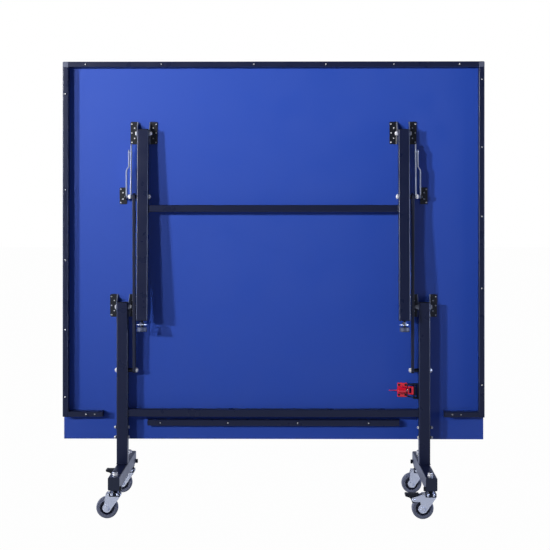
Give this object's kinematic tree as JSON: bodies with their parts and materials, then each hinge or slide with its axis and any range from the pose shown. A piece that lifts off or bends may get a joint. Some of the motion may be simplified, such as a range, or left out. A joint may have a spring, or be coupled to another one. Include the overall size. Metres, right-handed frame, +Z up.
{
  "type": "ping pong table",
  "caption": "Half of a rollaway ping pong table, folded upright on a castered trolley: blue board, dark tube apron, linked folding legs, knee stays and a red storage latch.",
  "frame": {"origin": "on the floor, under the middle of the whole half table as it stands folded", "axes": "+Z up along the folded board's length, +Y through the board towards its playing face, +X along the net edge"},
  "size_m": [1.525, 0.506, 1.602],
  "materials": {
    "board_underside": "blue coated wood-fibre board",
    "dark_steel": "satin dark navy powder coat",
    "black_steel": "satin black powder coat",
    "zinc": "bright zinc plate",
    "black_plastic": "moulded black plastic",
    "grey_plastic": "moulded grey plastic",
    "red_latch": "glossy red",
    "dark_hub": "moulded dark nylon",
    "grey_tyre": "grey soft tyre"
  },
  "bodies": {
    "trolley": {"post_left": "dark_steel", "post_right": "dark_steel", "lower_cross_tube": "dark_steel", "post_caps": "black_plastic", "post_spigots": "dark_steel", "foot_beam_left": "dark_steel", "foot_beam_right": "dark_steel", "beam_end_caps": "black_plastic", "lower_link_bolts": "zinc", "foot_bolts": "zinc", "latch_keeper": "black_steel", "caster_stems": "zinc", "caster_nuts": "zinc"},
    "tabletop": {"board": "board_underside", "end_apron": "dark_steel", "side_apron_left": "dark_steel", "side_apron_right": "dark_steel", "apron_returns": "dark_steel", "net_edge_rail": "dark_steel", "apron_corner_caps": "black_plastic", "upper_hinge_plates": "black_steel", "lower_hinge_plates": "black_steel", "stay_brackets": "black_steel", "pivot_bolts": "zinc", "pivot_nuts": "zinc", "apron_screws": "zinc", "bracket_screws": "zinc", "latch_housing": "red_latch", "latch_screws": "black_steel"},
    "folding_legs": {"upper_leg_left": "dark_steel", "upper_leg_right": "dark_steel", "leg_cross_tube": "dark_steel", "leg_top_caps": "black_plastic", "leg_foot_inserts": "black_plastic", "upper_link_bolts": "zinc"},
    "latch": {"latch_bolt": "red_latch"},
    "leveller_left": {"leveller_left": "grey_plastic"},
    "link_left": {"link_bar_left": "black_steel"},
    "board_stay_left": {"board_stay_left": "black_steel"},
    "leg_stay_left": {"leg_stay_left": "black_steel"},
    "leveller_right": {"leveller_right": "grey_plastic"},
    "link_right": {"link_bar_right": "black_steel"},
    "board_stay_right": {"board_stay_right": "black_steel"},
    "leg_stay_right": {"leg_stay_right": "black_steel"},
    "fork_front_left": {"fork_front_left": "zinc"},
    "wheel_front_left": {"hub_front_left": "dark_hub", "tyre_front_left": "grey_tyre"},
    "fork_front_right": {"fork_front_right": "zinc"},
    "wheel_front_right": {"hub_front_right": "dark_hub", "tyre_front_right": "grey_tyre"},
    "fork_rear_left": {"fork_rear_left": "zinc"},
    "wheel_rear_left": {"hub_rear_left": "dark_hub", "tyre_rear_left": "grey_tyre"},
    "fork_rear_right": {"fork_rear_right": "zinc"},
    "wheel_rear_right": {"hub_rear_right": "dark_hub", "tyre_rear_right": "grey_tyre"},
    "pedal_front_right": {"brake_pedal_front_right": "black_plastic"},
    "pedal_rear_left": {"brake_pedal_rear_left": "black_plastic"}
  },
  "joints": [
    {"name": "table_fold", "type": "hinge", "parent": "trolley", "child": "tabletop", "pos_m": [0, 0, 0.715], "axis": [1, 0, 0], "range_deg": [0, 90]},
    {"name": "leg_fold", "type": "hinge", "parent": "tabletop", "child": "folding_legs", "pos_m": [0, 0, 1.342], "axis": [1, 0, 0], "range_deg": [-87, 0]},
    {"name": "link_left_swing", "type": "hinge", "parent": "trolley", "child": "link_left", "pos_m": [-0.503, 0, 0.486], "axis": [1, 0, 0], "range_deg": [0, 88.91]},
    {"name": "board_stay_left_swing", "type": "hinge", "parent": "tabletop", "child": "board_stay_left", "pos_m": [-0.531, 0, 1.113], "axis": [1, 0, 0], "range_deg": [0, 44.38]},
    {"name": "leg_stay_left_swing", "type": "hinge", "parent": "folding_legs", "child": "leg_stay_left", "pos_m": [-0.514, -0.01199, 1.11331], "axis": [1, 0, 0], "range_deg": [-44.38, 0]},
    {"name": "leveller_left_screw", "type": "slide", "parent": "folding_legs", "child": "leveller_left", "axis": [0, 0.0523, 0.9986], "range_m": [-0.014, 0.005]},
    {"name": "link_right_swing", "type": "hinge", "parent": "trolley", "child": "link_right", "pos_m": [0.503, 0, 0.486], "axis": [1, 0, 0], "range_deg": [0, 88.91]},
    {"name": "board_stay_right_swing", "type": "hinge", "parent": "tabletop", "child": "board_stay_right", "pos_m": [0.531, 0, 1.113], "axis": [1, 0, 0], "range_deg": [0, 44.38]},
    {"name": "leg_stay_right_swing", "type": "hinge", "parent": "folding_legs", "child": "leg_stay_right", "pos_m": [0.514, -0.01199, 1.11331], "axis": [1, 0, 0], "range_deg": [-44.38, 0]},
    {"name": "leveller_right_screw", "type": "slide", "parent": "folding_legs", "child": "leveller_right", "axis": [0, 0.0523, 0.9986], "range_m": [-0.014, 0.005]},
    {"name": "latch_slide", "type": "slide", "parent": "tabletop", "child": "latch", "axis": [1, 0, 0], "range_m": [0, 0.012]},
    {"name": "swivel_front_left", "type": "hinge", "parent": "trolley", "child": "fork_front_left", "pos_m": [-0.545, -0.21, 0], "axis": [0, 0, 1], "continuous": true},
    {"name": "roll_front_left", "type": "hinge", "parent": "fork_front_left", "child": "wheel_front_left", "pos_m": [-0.572, -0.21, 0.0375], "axis": [0, 1, 0], "continuous": true},
    {"name": "swivel_front_right", "type": "hinge", "parent": "trolley", "child": "fork_front_right", "pos_m": [0.545, -0.21, 0], "axis": [0, 0, 1], "continuous": true},
    {"name": "roll_front_right", "type": "hinge", "parent": "fork_front_right", "child": "wheel_front_right", "pos_m": [0.518, -0.21, 0.0375], "axis": [0, 1, 0], "continuous": true},
    {"name": "swivel_rear_left", "type": "hinge", "parent": "trolley", "child": "fork_rear_left", "pos_m": [-0.545, 0.21, 0], "axis": [0, 0, 1], "continuous": true},
    {"name": "roll_rear_left", "type": "hinge", "parent": "fork_rear_left", "child": "wheel_rear_left", "pos_m": [-0.572, 0.21, 0.0375], "axis": [0, 1, 0], "continuous": true},
    {"name": "swivel_rear_right", "type": "hinge", "parent": "trolley", "child": "fork_rear_right", "pos_m": [0.545, 0.21, 0], "axis": [0, 0, 1], "continuous": true},
    {"name": "roll_rear_right", "type": "hinge", "parent": "fork_rear_right", "child": "wheel_rear_right", "pos_m": [0.518, 0.21, 0.0375], "axis": [0, 1, 0], "continuous": true},
    {"name": "brake_front_right", "type": "hinge", "parent": "fork_front_right", "child": "pedal_front_right", "pos_m": [0.486, -0.21, 0.0695], "axis": [0, -1, 0], "range_deg": [0, 12]},
    {"name": "brake_rear_left", "type": "hinge", "parent": "fork_rear_left", "child": "pedal_rear_left", "pos_m": [-0.604, 0.21, 0.0695], "axis": [0, -1, 0], "range_deg": [0, 12]}
  ],
  "couplings": [
    {"joint": "leg_fold", "follows": "table_fold", "ratio": -0.96667},
    {"joint": "link_left_swing", "follows": "table_fold", "ratio": 0.98784},
    {"joint": "board_stay_left_swing", "follows": "table_fold", "ratio": 0.4931},
    {"joint": "leg_stay_left_swing", "follows": "table_fold", "ratio": -0.4931},
    {"joint": "link_right_swing", "follows": "table_fold", "ratio": 0.98784},
    {"joint": "board_stay_right_swing", "follows": "table_fold", "ratio": 0.4931},
    {"joint": "leg_stay_right_swing", "follows": "table_fold", "ratio": -0.4931}
  ]
}
